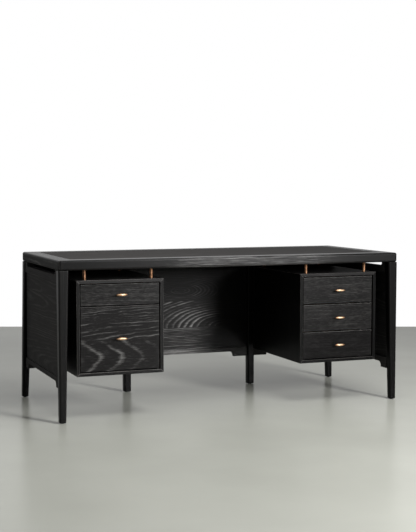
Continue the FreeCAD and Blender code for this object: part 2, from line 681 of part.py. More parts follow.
doc.recompute()
for thing in doc.Objects:
    if any(flag in thing.State for flag in ("Invalid", "Error")):
        raise ValueError(f"{thing.Label}: {thing.State}")
for thing in nodes:
    if thing.Shape.isNull() or not thing.Shape.isValid() or not thing.Shape.Solids:
        raise ValueError(thing.Label + ": no valid solid")
for thing in nodes:
    thing.Shape.exportStep(f"parts/{thing.Label}.step")
print(len(nodes), "nodes,", sum(len(thing.Shape.Solids) for thing in nodes), "solids")
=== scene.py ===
import math
import bpy
import numpy as np
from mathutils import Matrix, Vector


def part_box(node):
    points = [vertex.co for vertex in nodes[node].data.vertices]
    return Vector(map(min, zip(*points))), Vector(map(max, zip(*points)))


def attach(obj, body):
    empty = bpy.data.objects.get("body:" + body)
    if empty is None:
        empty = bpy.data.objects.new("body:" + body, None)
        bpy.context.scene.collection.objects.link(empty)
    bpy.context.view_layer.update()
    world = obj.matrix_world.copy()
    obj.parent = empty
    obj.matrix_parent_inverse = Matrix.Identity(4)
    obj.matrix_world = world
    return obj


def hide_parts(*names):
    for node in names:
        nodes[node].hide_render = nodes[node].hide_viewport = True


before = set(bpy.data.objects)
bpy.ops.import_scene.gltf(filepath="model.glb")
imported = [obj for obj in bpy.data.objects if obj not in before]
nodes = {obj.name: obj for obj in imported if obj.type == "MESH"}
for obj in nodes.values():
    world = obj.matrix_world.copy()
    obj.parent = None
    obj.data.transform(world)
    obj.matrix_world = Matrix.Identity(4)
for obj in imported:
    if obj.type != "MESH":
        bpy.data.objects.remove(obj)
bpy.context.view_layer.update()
mm = 0.001
print("frame loaded:", len(nodes), "nodes")


def linear(hexColour):  # sRGB hex to linear RGBA
    srgb = np.array([int(hexColour[i:i + 2], 16) for i in (1, 3, 5)]) / 255
    flat = np.where(srgb <= 0.04045, srgb / 12.92, ((srgb + 0.055) / 1.055) ** 2.4)
    return (*flat.tolist(), 1.0)


def addNode(tree, kind, links=None, stops=None, **settings):  # a node with its settings, values and links
    node = tree.nodes.new("ShaderNode" + kind)
    for name, value in settings.items():
        setattr(node, name, value)
    for place, (at, colour) in enumerate(stops or []):
        ramp = node.color_ramp.elements
        stop = ramp[place] if place < 2 else ramp.new(at)
        stop.position = at
        stop.color = linear(colour) if isinstance(colour, str) else (colour, colour, colour, 1.0)
    for name, value in (links or {}).items():
        socket = node.inputs[name]
        if isinstance(value, bpy.types.NodeSocket):
            tree.links.new(value, socket)
        else:
            socket.default_value = value
    return node


def newMaterial(name):
    material = bpy.data.materials.new(name)
    material.use_nodes = True
    material.node_tree.nodes.clear()
    return material, material.node_tree


def coat(node, material):
    target = nodes[node].data.materials
    target.clear()
    target.append(material)


# Black-stained oak, brushed so that the pores stay open, under a satin lacquer. Early wood is the
# rough, pale part of each year ring; late wood between is dense and nearly black.
oakLook = {
    "dark": "#0b0b0b", "mid": "#171616", "pale": "#525150",  # late wood, between, early wood
    "wearAndHighlight": "#4a4643",  # an edge's paler tone: partly thin, worn stain and partly painted highlight
    "ringGap": 8.0,  # mm, one year
    "plank": 130.0,  # mm, boards glued edge to edge
    "toPith": 28.0,  # mm, from the middle of the board to the middle of the log
    "sway": 5.0,  # mm, how far the rings wander
    "wander": (5.0, 18.0, 18.0),  # waves of that in a metre: along, across and through the board
    "patch": (6.0, 20.0, 20.0),  # the same, for slow light and dark patches
    "fibre": (70.0, 4.0),  # mm, streak; real fibres are 0.2 mm wide, drawn coarser so that they show
    "years": (0.2, 1.0),  # least and most strength of a ring, by chance
    "streak": (0.32, 0.7, 0.15, 1.3),  # the fibres' noise, from and to, and their least and most strength
    "glow": (0.35, 0.65, 0.3, 1.2),  # the same, for the patches
    "relief": (0.18, 0.5),  # strength of the open pores, and their depth in mm
    "edgeBand": 2.0,  # mm, width of an edge with wear and painted highlight
    "wearAndHighlightFrom": (0.995, 0.86),  # cosine of the edge's turn where wear and painted highlight start, and where they are full
    "wearAndHighlightShare": 0.3, "upwardHighlight": 0.5,  # how much wear and painted highlight an edge takes, and how much more painted highlight where it faces up
    "rough": (0.38, 0.3),  # late wood, early wood
    "polish": 0.0,  # how much smoother upward faces are rubbed
    "wearAndHighlightEdges": 0.2,  # and the edges with wear and painted highlight
    "early": 1.0,  # width of the early wood in a ring, as a share of the usual
    "grain": 0.16,  # strength of the fibres between the rings
    "gloss": 0.15, "contrast": 1.0,
    "planks": None,  # given cuts, lowest first, in place of cuts by chance
    "fade": None,  # strength of the rings along the board, as (m, share)
    "shade": None,  # and of the whole figure: painted light and shade along the board
}


def stainedOak(name, axes, seed, boardAt, changes):
    look = {**oakLook, **changes}
    material, tree = newMaterial(name)
    place = addNode(tree, "TexCoord")
    split = addNode(tree, "SeparateXYZ", {"Vector": place.outputs["Object"]})
    along, across, depth = (split.outputs[axis.upper()] for axis in axes)
    board = addNode(tree, "CombineXYZ", {"X": along, "Y": across, "Z": depth})

    # each plank is cut from a log of its own, either as given or by chance
    if look["planks"]:
        parts = []
        for keys in (("pith", "middle", "lean"), ("taper", "gap", "tone")):
            ramp = addNode(tree, "ValToRGB", {"Fac": across})
            ramp.color_ramp.interpolation = "CONSTANT"
            stops = ramp.color_ramp.elements
            for number, plank in enumerate(look["planks"]):
                stop = stops[number] if number < 2 else stops.new(plank["from"])
                stop.position = plank["from"]
                # a stop's colour can't go below 0, so the middle is kept as (m + 5) / 10
                kept = [(plank[key] + 5) / 10 if key == "middle" else plank[key] for key in keys]
                stop.color = (*kept, 1.0)
            held = addNode(tree, "SeparateXYZ", {"Vector": ramp.outputs["Color"]})
            parts += [held.outputs[axis] for axis in "XYZ"]
        pith, middleKept, leanAt, taper, gap, plankTone = parts
        middle = addNode(tree, "Math", {0: middleKept, 1: 10.0, 2: -5.0}, operation="MULTIPLY_ADD").outputs[0]
    else:
        taper, gap, plankTone = 0.0, look["ringGap"] * mm, 1.0
        width = look["plank"] * mm
        start = seed * 0.37  # where the first joint falls, in planks
        plankAt = addNode(tree, "Math", {0: across, 1: 1 / width, 2: start}, operation="MULTIPLY_ADD")
        plank = addNode(tree, "Math", {0: plankAt.outputs[0]}, operation="FLOOR")
        plankKey = addNode(tree, "CombineXYZ", {"X": plank.outputs[0], "Y": seed, "Z": seed * 1.7})
        draw = addNode(tree, "TexWhiteNoise", {"Vector": plankKey.outputs[0]}, noise_dimensions="3D")
        cut = addNode(tree, "SeparateXYZ", {"Vector": draw.outputs["Color"]})
        # the log's middle lies up to 0.2 planks outside its plank, within 4 m along, and leans 2 to 6 in 100
        shift = addNode(tree, "Math", {0: cut.outputs["X"], 1: 1.4, 2: -0.2 - start},
                        operation="MULTIPLY_ADD")
        pithAt = addNode(tree, "Math", {0: plank.outputs[0], 1: shift.outputs[0]}, operation="ADD")
        pith = addNode(tree, "Math", {0: pithAt.outputs[0], 1: width}, operation="MULTIPLY").outputs[0]
        middle = addNode(tree, "Math", {0: cut.outputs["Y"], 1: 8.0, 2: -4.0},
                         operation="MULTIPLY_ADD").outputs[0]
        leanAt = addNode(tree, "Math", {0: cut.outputs["Z"], 1: 0.04, 2: 0.02},
                         operation="MULTIPLY_ADD").outputs[0]

    # distance from the middle of the log, which thins along the board, plus a slow wander
    sideways = addNode(tree, "Math", {0: across, 1: pith}, operation="SUBTRACT")
    run = addNode(tree, "Math", {0: along, 1: middle}, operation="SUBTRACT")
    below = addNode(tree, "Math", {0: run.outputs[0], 1: leanAt}, operation="MULTIPLY")
    under = addNode(tree, "Math", {0: depth, 1: look["toPith"] * mm - boardAt}, operation="ADD")
    toLog = addNode(tree, "CombineXYZ", {"X": sideways.outputs[0], "Y": below.outputs[0],
                                         "Z": under.outputs[0]})
    distance = addNode(tree, "VectorMath", {0: toLog.outputs[0]}, operation="LENGTH")
    radius = addNode(tree, "Math", {0: along, 1: taper, 2: distance.outputs["Value"]},
                     operation="MULTIPLY_ADD")
    shifted = addNode(tree, "VectorMath", {0: board.outputs[0], 1: (seed * 3.1, seed, 0.0)}, operation="ADD")
    stretched = addNode(tree, "VectorMath", {0: shifted.outputs[0], 1: look["wander"]}, operation="MULTIPLY")
    wander = addNode(tree, "TexNoise", {"Vector": stretched.outputs[0], "Scale": 1.0, "Detail": 2.5})
    swayed = addNode(tree, "Math", {0: wander.outputs["Fac"], 1: 2 * look["sway"] * mm, 2: radius.outputs[0]},
                     operation="MULTIPLY_ADD")

    # rings: early wood starts pale and passes slowly into late wood, and some years are paler than others
    years = addNode(tree, "Math", {0: swayed.outputs[0], 1: gap}, operation="DIVIDE")
    year = addNode(tree, "Math", {0: years.outputs[0]}, operation="FLOOR")
    season = addNode(tree, "Math", {0: years.outputs[0]}, operation="FRACT")
    early = look["early"]
    earlyWood = addNode(tree, "ValToRGB", {"Fac": season.outputs[0]},
                        stops=[(0.0, 0.45), (1.0, 0.45), (0.1 * early, 1.0), (0.24 * early, 0.7),
                               (0.5 * early, 0.1), (0.88, 0.0)])
    yearKey = addNode(tree, "TexWhiteNoise", {"W": year.outputs[0]}, noise_dimensions="1D")
    faint, strong = look["years"]
    yearTone = addNode(tree, "MapRange", {"Value": yearKey.outputs["Value"], "To Min": faint,
                                          "To Max": strong})

    # streaks of fibre along the grain, and the slow patches
    length, width = look["fibre"]
    fine = (1 / (length * mm), 1 / (width * mm), 1 / (width * mm))
    fibreAt = addNode(tree, "VectorMath", {0: shifted.outputs[0], 1: fine}, operation="MULTIPLY")
    fibre = addNode(tree, "TexNoise", {"Vector": fibreAt.outputs[0], "Scale": 1.0, "Detail": 4.0,
                                       "Roughness": 0.65})
    patchAt = addNode(tree, "VectorMath", {0: shifted.outputs[0], 1: look["patch"]}, operation="MULTIPLY")
    patch = addNode(tree, "TexNoise", {"Vector": patchAt.outputs[0], "Scale": 1.0, "Detail": 2.0})
    streak, glow = (
        addNode(tree, "MapRange", {"Value": noise.outputs["Fac"], "From Min": low, "From Max": high,
                                   "To Min": least, "To Max": most})
        for noise, (low, high, least, most) in ((fibre, look["streak"]), (patch, look["glow"])))

    # the figure: rings, broken by the streaks, over the streaks themselves
    ringTone = addNode(tree, "Math", {0: earlyWood.outputs["Color"], 1: yearTone.outputs[0]},
                       operation="MULTIPLY")
    litTone = addNode(tree, "Math", {0: ringTone.outputs[0], 1: glow.outputs[0]}, operation="MULTIPLY")
    softStreak = addNode(tree, "Math", {0: streak.outputs[0], 1: 0.5, 2: 0.5}, operation="MULTIPLY_ADD")
    streaked = addNode(tree, "Math", {0: litTone.outputs[0], 1: softStreak.outputs[0]}, operation="MULTIPLY")
    # fade: the rings' strength along the board; shade: painted light and shade, the figure brightened or
    # darkened by where it lies along the board
    spot = addNode(tree, "MapRange", {"Value": along, "From Min": -1.0, "From Max": 1.0})
    fade, shade = (addNode(tree, "ValToRGB", {"Fac": spot.outputs[0]},
                           stops=[((at + 1) / 2, share) for at, share in look[key] or [(-1, 1.0), (1, 1.0)]])
                   for key in ("fade", "shade"))
    faded = addNode(tree, "Math", {0: streaked.outputs[0], 1: fade.outputs["Color"]}, operation="MULTIPLY")
    figure = addNode(tree, "Math", {0: streak.outputs[0], 1: look["grain"], 2: faded.outputs[0]},
                     operation="MULTIPLY_ADD")
    paintedLightAndShade = addNode(tree, "Math", {0: figure.outputs[0], 1: shade.outputs["Color"]}, operation="MULTIPLY")
    base = addNode(tree, "Math", {0: paintedLightAndShade.outputs[0], 1: plankTone}, operation="MULTIPLY")
    tone = addNode(tree, "Math", {0: base.outputs[0], 1: look["contrast"]},
                   operation="MULTIPLY", use_clamp=True)
    stain = addNode(tree, "ValToRGB", {"Fac": tone.outputs[0]},
                    stops=[(0.0, look["dark"]), (1.0, look["pale"]), (0.3, look["mid"])])

    # edges take a paler tone: partly worn, thin stain and partly painted highlight, with more painted
    # highlight where they face up
    rounded = addNode(tree, "Bevel", {"Radius": look["edgeBand"] * mm}, samples=4)
    flat = addNode(tree, "NewGeometry")
    facing = addNode(tree, "VectorMath", {0: rounded.outputs[0], 1: flat.outputs["Normal"]},
                     operation="DOT_PRODUCT")
    turn = addNode(tree, "SeparateXYZ", {"Vector": rounded.outputs[0]})
    edgeWearAndHighlightShare = addNode(tree, "Math", {0: turn.outputs["Z"], 1: look["upwardHighlight"], 2: look["wearAndHighlightShare"]},
                   operation="MULTIPLY_ADD", use_clamp=True)
    edgeStart, edgeFull = look["wearAndHighlightFrom"]
    edge = addNode(tree, "MapRange", {"Value": facing.outputs["Value"], "From Min": edgeStart, "From Max": edgeFull,
                                      "To Max": edgeWearAndHighlightShare.outputs[0]})
    wearAndHighlightEdges = addNode(tree, "Math", {0: edge.outputs[0], 1: streak.outputs[0]},
                     operation="MULTIPLY", use_clamp=True)
    colour = addNode(tree, "Mix", {"Factor": wearAndHighlightEdges.outputs[0], "A": stain.outputs["Color"],
                                   "B": linear(look["wearAndHighlight"])}, data_type="RGBA")

    # lacquer: satin, smoother on early wood, on upward faces and where it is rubbed
    lateRough, earlyRough = look["rough"]
    satin = addNode(tree, "MapRange", {"Value": tone.outputs[0], "To Min": lateRough, "To Max": earlyRough})
    turned = addNode(tree, "SeparateXYZ", {"Vector": flat.outputs["Normal"]})
    upward = addNode(tree, "Math", {0: turned.outputs["Z"], 1: -look["polish"], 2: satin.outputs[0]},
                     operation="MULTIPLY_ADD")
    roughness = addNode(tree, "Math", {0: wearAndHighlightEdges.outputs[0], 1: -look["wearAndHighlightEdges"], 2: upward.outputs[0]},
                        operation="MULTIPLY_ADD")
    strength, pores = look["relief"]
    relief = addNode(tree, "Bump", {"Height": base.outputs[0], "Strength": strength, "Distance": pores * mm})
    shader = addNode(tree, "BsdfPrincipled", {
        "Base Color": colour.outputs[2], "Roughness": roughness.outputs[0], "Normal": relief.outputs[0],
        "IOR": 1.5, "Specular IOR Level": look["gloss"]})
    addNode(tree, "OutputMaterial", {"Surface": shader.outputs[0]})
    return material


# looks of the boards, each as what differs from the usual. The dark ones are painted shade: darker copies of
# the stain, with darker edges, for the right case, its drawers and all legs but the front left one
legLook = {"dark": "#090909", "mid": "#121111", "pale": "#363534", "contrast": 0.6, "plank": 400.0,
           "wearAndHighlight": "#6a6663", "upwardHighlight": 0.9, "edgeBand": 4.0}
paintedShadeLegLook = {**legLook, "dark": "#050505", "mid": "#0a0909", "pale": "#222121", "gloss": 0.08,
               "upwardHighlight": 0.3}
# the side and back screens: painted light, a lighter copy of the stain so that they show in the shade
screenLook = {"dark": "#222121", "mid": "#302f2f", "pale": "#4c4b4a", "contrast": 0.6, "wearAndHighlightShare": 0.35,
              "rough": (0.85, 0.75), "gloss": 0.15}
caseLook = {"dark": "#0c0c0c", "mid": "#161515", "contrast": 0.6, "gloss": 0.12,
            "wearAndHighlight": "#aeaaa7", "wearAndHighlightShare": 0.3, "upwardHighlight": 0.7, "edgeBand": 4.5}
paintedShadeCaseLook = {**caseLook, "dark": "#050505", "mid": "#0b0b0b", "pale": "#2a2929", "gloss": 0.07,
                "wearAndHighlight": "#76726f"}
# the left case's top: painted highlight, a lighter copy of the case's stain
leftCaseTopLook = {**caseLook, "dark": "#242323", "mid": "#323131"}
# the right case's top: painted light, lighter than the rest of that case, over its painted shade
rightCaseTopLook = {**paintedShadeCaseLook, "dark": "#1c1b1b", "mid": "#282727"}
# the right case's outer side: painted shade, with its edges darker still
rightCaseOuterLook = {**paintedShadeCaseLook, "wearAndHighlight": "#2c2a29", "gloss": 0.06}
frontLook = {"dark": "#0a0a0a", "mid": "#151414", "gloss": 0.11, "ringGap": 5.0, "plank": 300.0,
             "fibre": (24.0, 3.5), "grain": 0.5, "contrast": 0.75,
             "wearAndHighlight": "#aba7a4", "wearAndHighlightShare": 0.1, "upwardHighlight": 0.9, "edgeBand": 4.0}
paintedShadeFrontLook = {**frontLook, "dark": "#060606", "mid": "#0f0e0e", "pale": "#403f3e", "gloss": 0.09}
# the right lower front: deeper painted shade
deepestShadeFrontLook = {**paintedShadeFrontLook, "dark": "#050505", "mid": "#0a0909", "pale": "#2c2b2b", "gloss": 0.06}
borderLook = {"rough": (0.9, 0.82), "polish": 0.62, "gloss": 0.4}
# the back's middle bottom rail: painted light, a lighter copy of the stain, fading along the rail to painted
# shade at the right
backRailLook = {"dark": "#1c1b1b", "mid": "#454443", "pale": "#858483", "grain": 0.6, "gloss": 0.12,
                "shade": [(-1.0, 1.0), (1.0, 0.05), (-0.1, 1.0), (0.15, 0.1)]}

# boards whose figure shows have their cuts given: from (m across), middle of the log across and along,
# lean of the log, how fast it thins, ring gap (m) and strength
deepFrontLook = {
    "planks": [
        {"from": 0.0, "pith": 0.292, "middle": 0.0, "lean": 0.0, "taper": 0.7, "gap": 0.0737, "tone": 1.05},
        {"from": 0.375, "pith": 0.30, "middle": -0.2, "lean": 0.16, "taper": 0.0, "gap": 0.02, "tone": 1.0},
        {"from": 0.445, "pith": 0.30, "middle": 0.4, "lean": 0.06, "taper": 0.0, "gap": 0.01, "tone": 1.0},
    ],
    "dark": "#0e0e0e", "mid": "#191818", "pale": "#605f5e", "gloss": 0.09, "toPith": 26.0, "early": 0.55,
    "sway": 24.0, "fibre": (30.0, 3.5), "grain": 0.3,
    "wearAndHighlight": "#aba7a4", "wearAndHighlightShare": 0.1, "upwardHighlight": 0.9, "edgeBand": 4.0,
}
# the back's middle panel: painted shadow of the right case over its right part, and painted shadow of the top
# on its upper planks, whose strength is low
backPanelLook = {
    "planks": [
        {"from": 0.0, "pith": 0.10, "middle": 2.0, "lean": 0.03, "taper": 0.0, "gap": 0.008, "tone": 1.1},
        {"from": 0.335, "pith": 0.335, "middle": 0.22, "lean": 0.36, "taper": 0.0, "gap": 0.0125, "tone": 1.0},
        {"from": 0.48, "pith": 0.54, "middle": -0.04, "lean": 0.3, "taper": 0.0, "gap": 0.007, "tone": 0.45},
        {"from": 0.60, "pith": 0.80, "middle": 2.0, "lean": 0.03, "taper": 0.0, "gap": 0.008, "tone": 0.35},
    ],
    "dark": "#0a0a0a", "mid": "#2a2929", "pale": "#7d7c7b", "gloss": 0.07, "toPith": 12.0, "grain": 0.24,
    "shade": [(-1.0, 1.0), (1.0, 0.05), (0.04, 1.0), (0.22, 0.1)],
}
# the top's front rail: painted sheen, brightest in the middle and darker towards both ends, and a painted
# highlight along its top edge
frontRailLook = {
    "planks": [
        {"from": 0.0, "pith": 0.735, "middle": -0.62, "lean": 0.16, "taper": 0.0, "gap": 0.0055, "tone": 1.0},
        {"from": 0.9, "pith": 0.735, "middle": -0.62, "lean": 0.16, "taper": 0.0, "gap": 0.0055, "tone": 1.0},
    ],
    "mid": "#201f1f", "pale": "#a09f9e", "gloss": 0.11, "polish": 0.2, "toPith": 6.0,
    "fibre": (130.0, 2.6), "grain": 0.55, "wearAndHighlight": "#a5a3a0", "edgeBand": 4.0, "upwardHighlight": 0.8,
    "fade": [(-0.9, 0.05), (0.9, 0.05), (-0.7, 0.3), (-0.55, 0.3), (-0.3, 0.1), (-0.15, 0.05)],
    "shade": [(-0.9, 0.4), (0.9, 0.2), (-0.87, 0.1), (-0.6, 0.28), (-0.4, 0.5), (-0.2, 0.9), (0.45, 0.78),
              (0.68, 0.2)],
}

# Matte stained veneer on the field of the top: even in figure, brown-black and softer than its border, painted
# light at the left fading to painted shade at the right
veneerLook = {"dark": "#171514", "mid": "#2f2c2a", "pale": "#3d3936", "plank": 160.0, "rough": (0.72, 0.66),
              "gloss": 0.3, "contrast": 0.8, "grain": 0.3, "wearAndHighlightShare": 0.1,
              "shade": [(-0.9, 1.0), (0.9, 0.1)]}

# the boards: node, axes (along the grain, across, through), a seed for the logs, and the look
boards = [
    ("top_front_rail", "xzy", 3.0, frontRailLook),
    ("top_rear_rail", "xzy", 5.0, borderLook),
    ("top_left_rail", "yxz", 7.0, borderLook),
    ("top_right_rail", "yxz", 9.0, borderLook),
    ("leg_front_left", "zxy", 11.0, legLook),
    ("leg_front_right", "zxy", 12.0, paintedShadeLegLook),
    ("leg_rear_left", "zxy", 13.0, paintedShadeLegLook),
    ("leg_rear_right", "zxy", 14.0, paintedShadeLegLook),
    ("leg_mid_left", "zxy", 15.0, paintedShadeLegLook),
    ("leg_mid_right", "zxy", 16.0, paintedShadeLegLook),
    ("side_left_top_rail", "yzx", 21.0, screenLook),
    ("side_left_bottom_rail", "yzx", 22.0, screenLook),
    ("side_left_panel", "yzx", 23.0, screenLook),
    ("side_right_top_rail", "yzx", 24.0, screenLook),
    ("side_right_bottom_rail", "yzx", 25.0, screenLook),
    ("side_right_panel", "yzx", 26.0, screenLook),
    ("back_left_bottom_rail", "xzy", 31.0, screenLook),
    ("back_left_panel", "xzy", 32.0, screenLook),
    ("back_center_bottom_rail", "xzy", 33.0, backRailLook),
    ("back_center_panel", "xzy", 34.0, backPanelLook),
    ("back_right_bottom_rail", "xzy", 35.0, screenLook),
    ("back_right_panel", "xzy", 36.0, screenLook),
    ("back_top_rails", "xzy", 37.0, screenLook),
    ("drawer_left_upper_front", "xzy", 41.0, frontLook),
    ("drawer_left_lower_front", "xzy", 42.0, deepFrontLook),
    ("drawer_right_upper_front", "xzy", 43.0, paintedShadeFrontLook),
    ("drawer_right_middle_front", "xzy", 44.0, paintedShadeFrontLook),
    ("drawer_right_lower_front", "xzy", 45.0, deepestShadeFrontLook),
    ("left_case_top", "xyz", 51.0, leftCaseTopLook),
    ("left_case_bottom", "xyz", 52.0, caseLook),
    ("left_case_outer_side", "zyx", 53.0, caseLook),
    ("left_case_inner_side", "zyx", 54.0, caseLook),
    ("left_case_back", "zxy", 55.0, caseLook),
    ("right_case_top", "xyz", 61.0, rightCaseTopLook),
    ("right_case_bottom", "xyz", 62.0, paintedShadeCaseLook),
    ("right_case_outer_side", "zyx", 63.0, rightCaseOuterLook),
    ("right_case_inner_side", "zyx", 64.0, paintedShadeCaseLook),
    ("right_case_back", "zxy", 65.0, paintedShadeCaseLook),
    ("top_panel", "xyz", 71.0, veneerLook),
]
for node, axes, seed, look in boards:
    through = "xyz".index(axes[2])
    boardAt = sum(corner[through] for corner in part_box(node)) / 2  # the middle of its thickness
    name = "matteStainedVeneer" if look is veneerLook else "blackStainedOak_" + node
    coat(node, stainedOak(name, axes, seed, boardAt, look))
print("boards stained:", len(boards))

# Turned brass, brushed and left bare: warm, with fine lathe lines round each piece, and painted shade, a dull
# brown, towards a pull's ends and on its stem
brassLook = {
    "lineGap": 0.9,  # mm, one lathe line to the next
    "relief": (0.15, 0.2),  # strength of the lines, and their depth in mm
    "rough": (0.4, 0.54),  # smoothest, roughest
    "cloud": 90.0,  # waves of tone in a metre
    "bright": (0.3, 0.62),  # noise where the tone leaves the shade, and where it is all metal
    "endShading": (0.35, 0.95),  # share of the way to a pull's end where painted shade starts, and where it is full
}


def brushedBrass(name, turnAxis, shade, metal, endShade):
    material, tree = newMaterial(name)
    place = addNode(tree, "TexCoord")
    split = addNode(tree, "SeparateXYZ", {"Vector": place.outputs["Object"]})
    lines = addNode(tree, "Math", {0: split.outputs[turnAxis], 1: 1 / (brassLook["lineGap"] * mm)},
                    operation="MULTIPLY")
    scratch = addNode(tree, "TexNoise", {"W": lines.outputs[0], "Scale": 1.0, "Detail": 3.0},
                      noise_dimensions="1D")
    cloud = addNode(tree, "TexNoise", {"Vector": place.outputs["Object"], "Scale": brassLook["cloud"],
                                       "Detail": 3.0})
    shadeAt, metalAt = brassLook["bright"]
    colour = addNode(tree, "ValToRGB", {"Fac": cloud.outputs["Fac"]},
                     stops=[(shadeAt, shade), (metalAt, metal)])
    away = addNode(tree, "Attribute", attribute_name="end")  # 0 in the middle of a pull, 1 at its ends
    shadeFrom, shadeTo = brassLook["endShading"]
    endShading = addNode(tree, "MapRange", {"Value": away.outputs["Fac"], "From Min": shadeFrom, "From Max": shadeTo})
    endShaded = addNode(tree, "Mix", {"Factor": endShading.outputs[0], "A": colour.outputs["Color"],
                                 "B": linear(endShade)}, data_type="RGBA")
    smooth, coarse = brassLook["rough"]
    roughness = addNode(tree, "MapRange", {"Value": scratch.outputs["Fac"], "To Min": smooth,
                                           "To Max": coarse})
    strength, depth = brassLook["relief"]
    relief = addNode(tree, "Bump", {"Height": scratch.outputs["Fac"], "Strength": strength,
                                    "Distance": depth * mm})
    shader = addNode(tree, "BsdfPrincipled", {
        "Base Color": endShaded.outputs[2], "Metallic": 1.0, "Roughness": roughness.outputs[0],
        "Normal": relief.outputs[0]})
    addNode(tree, "OutputMaterial", {"Surface": shader.outputs[0]})
    return material


# colours: the cloud's darker and brighter brass, then the painted shade at a pull's ends
pullBrass = brushedBrass("brushedBrassPull", "X", "#a98464", "#d8b999", "#6a472e")
pegBrass = brushedBrass("agedBrassPeg", "Z", "#6c4d38", "#a07a5e", "#6c4d38")
coat("case_pegs", pegBrass)

# the pulls: a barrel along the drawer on a waisted stem, each turned on the lathe; sizes in mm
pullLook = {
    "stand": 26.0, "waist": 3.4, "foot": 2.4, "spigot": 3.0,
    "barrel": 1.9, "flare": 6,  # powers: how full the barrel is, how late the stem swells
    "sides": 48, "barrelRings": 61, "stemRings": 33,
    "endTurn": 1.55,  # the barrel's rings lie at sines of angles up to this, just short of a quarter turn
    "stemShade": 0.8,  # the stem's painted shade, on the scale of the barrel's ends
}


def turnedPull(node):
    low, high = (np.array(corner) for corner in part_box(node))
    middle = (low + high) / 2
    half, radius = (high[0] - low[0]) / 2, (high[2] - low[2]) / 2
    axisY = low[1] + radius
    frontY = axisY + pullLook["stand"] * mm
    sides = pullLook["sides"]
    around = np.linspace(0, 2 * np.pi, sides, endpoint=False)
    # barrel: the radius falls off towards the ends as (1 - |x|^p)^(1/p), turned about x
    x = np.sin(np.linspace(-pullLook["endTurn"], pullLook["endTurn"], pullLook["barrelRings"]))
    r = radius * (1 - np.abs(x) ** pullLook["barrel"]) ** (1 / pullLook["barrel"])
    barrel = np.stack([middle[0] + half * x[:, None] + 0 * around, axisY + r[:, None] * np.cos(around),
                       middle[2] + r[:, None] * np.sin(around)], -1)
    # stem: a waist that swells to a foot at the drawer front as waist + foot * s^flare, then the spigot,
    # turned about y
    s = np.linspace(0, 1, pullLook["stemRings"])
    y = np.concatenate([axisY + (frontY - axisY) * s, [frontY, high[1]]])
    r = np.concatenate([pullLook["waist"] + pullLook["foot"] * s ** pullLook["flare"],
                        [pullLook["spigot"]] * 2]) * mm
    stem = np.stack([middle[0] + r[:, None] * np.sin(around), y[:, None] + 0 * around,
                     middle[2] + r[:, None] * np.cos(around)], -1)
    points, faces = [], []
    for grid in (barrel, stem):
        index = np.arange(grid.shape[0] * sides).reshape(-1, sides) + len(points)
        beside = np.roll(index, -1, 1)
        faces += np.stack([index[:-1], beside[:-1], beside[1:], index[1:]], -1).reshape(-1, 4).tolist()
        faces += [index[0][::-1].tolist(), index[-1].tolist()]
        points += grid.reshape(-1, 3).tolist()
    mesh = bpy.data.meshes.new(node + "Turned")
    mesh.from_pydata(points, [], faces)
    mesh.polygons.foreach_set("use_smooth", np.ones(len(faces), dtype=bool))
    # share of painted shade: |x| along the barrel, more towards its ends, and stemShade on the stem
    ends = np.concatenate([np.repeat(np.abs(x), sides), np.full(stem.shape[0] * sides, pullLook["stemShade"])])
    mesh.attributes.new("end", "FLOAT", "POINT").data.foreach_set("value", ends)
    mesh.materials.append(pullBrass)
    pull = bpy.data.objects.new(node + "Turned", mesh)
    bpy.context.scene.collection.objects.link(pull)
    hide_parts(node)
    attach(pull, node.removesuffix("_pull"))


pulls = [node for node in nodes if node.endswith("_pull")]
for node in pulls:
    turnedPull(node)
print("brass turned:", len(pulls), "pulls")

# Plain inner materials: pale birch ply that lights up an open drawer, bare beech with a fine upright grain,
# zinc-plated steel with a cold, mottled shine, and dull black nylon. Stretch is waves in a metre, and relief
# a strength and a depth in mm
plainLook = {
    "lacqueredBirchPly": {"low": "#a98d68", "high": "#c9b08a", "stretch": (6, 160, 160), "rough": (0.5, 0.62),
                          "metallic": 0.0, "relief": (0.2, 0.3)},
    "bareBeechDowel": {"low": "#b08a5e", "high": "#cfaa7c", "stretch": (300, 300, 20), "rough": (0.6, 0.7),
                       "metallic": 0.0, "relief": (0.2, 0.3)},
    "zincPlatedSteel": {"low": "#8f9194", "high": "#b9bbbd", "stretch": (90, 90, 90), "rough": (0.3, 0.45),
                        "metallic": 1.0, "relief": (0.1, 0.3)},
    "mouldedNylonGlide": {"low": "#151515", "high": "#222222", "stretch": (400, 400, 400),
                          "rough": (0.5, 0.65), "metallic": 0.0, "relief": (0.15, 0.3)},
}
lowAt, highAt = 0.3, 0.7  # noise where the low tone ends and the high one starts


def mottled(name):
    look = plainLook[name]
    material, tree = newMaterial(name)
    place = addNode(tree, "TexCoord")
    stretched = addNode(tree, "VectorMath", {0: place.outputs["Object"], 1: look["stretch"]},
                        operation="MULTIPLY")
    cloud = addNode(tree, "TexNoise", {"Vector": stretched.outputs[0], "Scale": 1.0, "Detail": 5.0})
    colour = addNode(tree, "ValToRGB", {"Fac": cloud.outputs["Fac"]},
                     stops=[(lowAt, look["low"]), (highAt, look["high"])])
    smooth, coarse = look["rough"]
    roughness = addNode(tree, "MapRange", {"Value": cloud.outputs["Fac"], "To Min": smooth, "To Max": coarse})
    strength, depth = look["relief"]
    relief = addNode(tree, "Bump", {"Height": cloud.outputs["Fac"], "Strength": strength,
                                    "Distance": depth * mm})
    shader = addNode(tree, "BsdfPrincipled", {
        "Base Color": colour.outputs["Color"], "Metallic": look["metallic"],
        "Roughness": roughness.outputs[0], "Normal": relief.outputs[0]})
    addNode(tree, "OutputMaterial", {"Surface": shader.outputs[0]})
    return material


